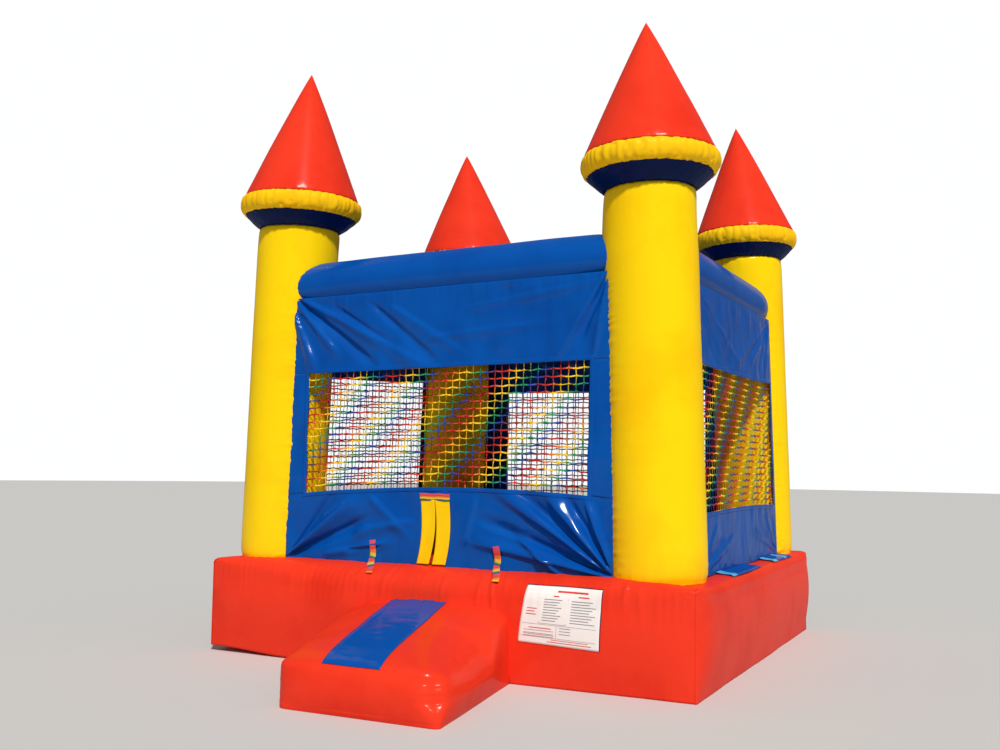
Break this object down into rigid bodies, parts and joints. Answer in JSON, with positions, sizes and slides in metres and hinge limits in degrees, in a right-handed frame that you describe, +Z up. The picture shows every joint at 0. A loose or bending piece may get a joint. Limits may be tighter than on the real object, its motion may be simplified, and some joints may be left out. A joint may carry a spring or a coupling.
{
  "type": "inflatable bounce house",
  "caption": "Air-filled castle bounce house with corner towers, netted window walls, a shade roof, a door with two flaps, an entrance ramp and a blower sleeve.",
  "frame": {"origin": "on the ground at the middle of the air-filled base", "axes": "+X to the right seen from the entrance, +Y towards the back, away from the entrance, +Z up"},
  "size_m": [4.1, 5.79, 4.7302],
  "materials": {
    "red_vinyl": "glossy coated vinyl",
    "yellow_vinyl": "glossy coated vinyl",
    "blue_vinyl": "glossy coated vinyl",
    "white_vinyl": "satin coated vinyl",
    "rainbow_net": "knotted cord net",
    "rainbow_webbing": "woven webbing",
    "black_webbing": "woven webbing",
    "plated_steel": "zinc plated",
    "nickel_brass": "nickel plated"
  },
  "bodies": {
    "root": {"anchor_tabs": "black_webbing", "band_back_left": "yellow_vinyl", "band_back_right": "yellow_vinyl", "band_front_left": "yellow_vinyl", "band_front_right": "yellow_vinyl", "base_panel_back": "red_vinyl", "base_panel_front": "red_vinyl", "base_panel_left": "red_vinyl", "base_panel_right": "red_vinyl", "beam_back": "blue_vinyl", "beam_front": "blue_vinyl", "beam_left": "blue_vinyl", "beam_right": "blue_vinyl", "bounce_floor": "red_vinyl", "column_back_left": "yellow_vinyl", "column_back_right": "yellow_vinyl", "column_front_left": "yellow_vinyl", "column_front_right": "yellow_vinyl", "entrance_webbing": "rainbow_webbing", "flare_back_left": "blue_vinyl", "flare_back_right": "blue_vinyl", "flare_front_left": "blue_vinyl", "flare_front_right": "blue_vinyl", "ground_sheet": "red_vinyl", "hold_down_tabs": "blue_vinyl", "inflation_sleeve": "red_vinyl", "internal_baffles": "red_vinyl", "lower_panel_back": "blue_vinyl", "lower_panel_front": "blue_vinyl", "lower_panel_left": "blue_vinyl", "lower_panel_right": "blue_vinyl", "ramp_shell": "red_vinyl", "ramp_tread": "blue_vinyl", "roof_panel": "blue_vinyl", "rules_panel": "white_vinyl", "side_strips": "blue_vinyl", "sleeve_strap": "black_webbing", "spire_back_left": "red_vinyl", "spire_back_right": "red_vinyl", "spire_front_left": "red_vinyl", "spire_front_right": "red_vinyl", "upper_panel_back": "blue_vinyl", "upper_panel_front": "blue_vinyl", "upper_panel_left": "blue_vinyl", "upper_panel_right": "blue_vinyl", "window_net_back": "rainbow_net", "window_net_front": "rainbow_net", "window_net_left": "rainbow_net", "window_net_right": "rainbow_net", "zip_tape": "black_webbing"},
    "door_flap_left": {"door_flap_left": "yellow_vinyl"},
    "door_flap_right": {"door_flap_right": "yellow_vinyl"},
    "zip_slider": {"zip_slider": "nickel_brass"},
    "zip_pull": {"zip_pull": "nickel_brass"},
    "anchor_ring_back_left": {"anchor_ring_back_left": "plated_steel"},
    "anchor_ring_back_right": {"anchor_ring_back_right": "plated_steel"},
    "anchor_ring_left_front": {"anchor_ring_left_front": "plated_steel"},
    "anchor_ring_left_back": {"anchor_ring_left_back": "plated_steel"}
  },
  "joints": [
    {"name": "door_flap_left_swing", "type": "hinge", "parent": "root", "child": "door_flap_left", "pos_m": [-0.162, -1.68, 0.985], "axis": [0, 0, 1], "range_deg": [-100, 100]},
    {"name": "door_flap_right_swing", "type": "hinge", "parent": "root", "child": "door_flap_right", "pos_m": [0.082, -1.68, 0.985], "axis": [0, 0, -1], "range_deg": [-100, 100]},
    {"name": "zip_slider_travel", "type": "slide", "parent": "root", "child": "zip_slider", "axis": [1, 0, 0], "range_m": [0, 0.6]},
    {"name": "zip_pull_flip", "type": "hinge", "parent": "zip_slider", "child": "zip_pull", "pos_m": [0.527, 1.89806, 0.45], "axis": [1, 0, 0], "range_deg": [0, 170]},
    {"name": "anchor_ring_back_left_swing", "type": "hinge", "parent": "root", "child": "anchor_ring_back_left", "pos_m": [-1.5, 1.87358, 0.142], "axis": [1, 0, 0], "range_deg": [-10, 150]},
    {"name": "anchor_ring_back_right_swing", "type": "hinge", "parent": "root", "child": "anchor_ring_back_right", "pos_m": [1.5, 1.87358, 0.142], "axis": [1, 0, 0], "range_deg": [-10, 150]},
    {"name": "anchor_ring_left_front_swing", "type": "hinge", "parent": "root", "child": "anchor_ring_left_front", "pos_m": [-2.03358, -1.35, 0.142], "axis": [0, 1, 0], "range_deg": [-10, 150]},
    {"name": "anchor_ring_left_back_swing", "type": "hinge", "parent": "root", "child": "anchor_ring_left_back", "pos_m": [-2.03358, 1.35, 0.142], "axis": [0, 1, 0], "range_deg": [-10, 150]}
  ]
}
